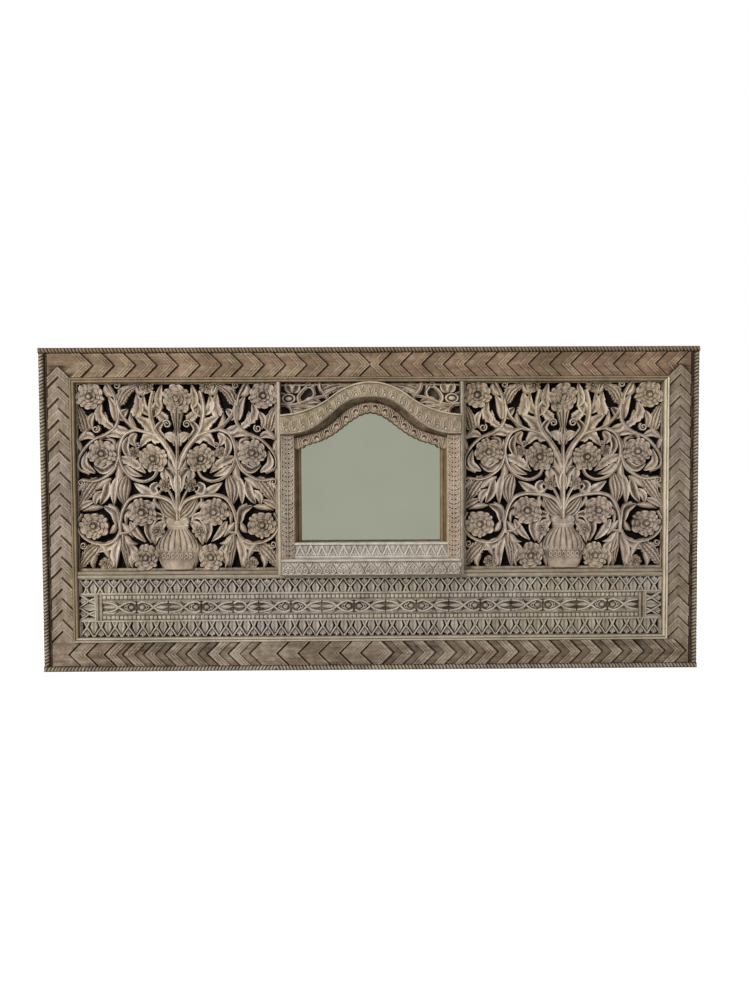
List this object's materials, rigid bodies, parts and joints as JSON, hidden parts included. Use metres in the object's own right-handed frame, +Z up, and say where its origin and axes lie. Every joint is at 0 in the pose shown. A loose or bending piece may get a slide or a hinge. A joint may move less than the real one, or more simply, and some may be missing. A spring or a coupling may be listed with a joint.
{
  "type": "carved jali panel",
  "caption": "Carved wooden wall panel with pierced floral panels, a chevron frame, a lattice band and an arched mirror in the middle.",
  "frame": {"origin": "middle of the bottom of the bounding box", "axes": "+X to the right of someone facing the panel, +Y into the wall, +Z up; the carved front faces -Y"},
  "size_m": [2.03, 0.102, 1],
  "materials": {
    "wood_frame": "bleached hardwood, brushed and left dry, with darker wear in the grooves",
    "wood_moulding": "dry, olive-tan, plain planed mouldings",
    "wood_carved": "bleached carving, rubbed pale on the high places and dark in the cuts",
    "wood_band": "weathered grey-tan carving",
    "wood_rear": "sawn and unfinished",
    "board_black": "black-stained board, matt",
    "mirror": "silvered glass, slightly grey with age",
    "backing": "brown hardboard",
    "steel": "plain zinc-coated"
  },
  "bodies": {
    "root": {"chevron_rail_top_left": "wood_frame", "chevron_rail_top_centre": "wood_frame", "chevron_rail_top_right": "wood_frame", "chevron_rail_bottom_left": "wood_frame", "chevron_rail_bottom_right": "wood_frame", "chevron_stile_left_lower": "wood_frame", "chevron_stile_left_upper": "wood_frame", "chevron_stile_right_lower": "wood_frame", "chevron_stile_right_upper": "wood_frame", "rope_moulding_top": "wood_frame", "rope_moulding_bottom": "wood_frame", "rope_moulding_left": "wood_frame", "rope_moulding_right": "wood_frame", "bead_bottom": "wood_moulding", "bead_left": "wood_moulding", "bead_right": "wood_moulding", "bead_top_left": "wood_moulding", "bead_top_centre": "wood_moulding", "bead_top_right": "wood_moulding", "mid_fillet": "wood_moulding", "mid_rail_left": "wood_moulding", "mid_rail_right": "wood_moulding", "band_end_strips": "wood_moulding", "floral_panel_left": "wood_carved", "floral_panel_right": "wood_carved", "arch_hood_left": "wood_carved", "arch_hood_right": "wood_carved", "arch_cusp_left": "wood_carved", "arch_cusp_right": "wood_carved", "spandrel_left": "wood_carved", "spandrel_right": "wood_carved", "jamb_left": "wood_carved", "jamb_right": "wood_carved", "jamb_edge_left": "wood_carved", "jamb_edge_right": "wood_carved", "mirror_trim_left": "wood_carved", "mirror_trim_right": "wood_carved", "sill_lower": "wood_carved", "sill_upper": "wood_carved", "lattice_top": "wood_band", "lattice_bottom": "wood_band", "lattice_left": "wood_band", "lattice_right": "wood_band", "bead_row_lower": "wood_band", "bead_row_upper": "wood_band", "carved_blocks": "wood_band", "rear_batten_top": "wood_rear", "rear_batten_bottom": "wood_rear", "rear_upright_left": "wood_rear", "rear_upright_mid_left": "wood_rear", "rear_upright_mid_right": "wood_rear", "rear_upright_right": "wood_rear", "back_board_left": "board_black", "back_board_centre": "board_black", "back_board_right": "board_black", "mirror_glass": "mirror", "mirror_backing": "backing", "backing_screws": "steel", "frame_screws": "steel", "hanging_plates": "steel"}
  },
  "joints": []
}
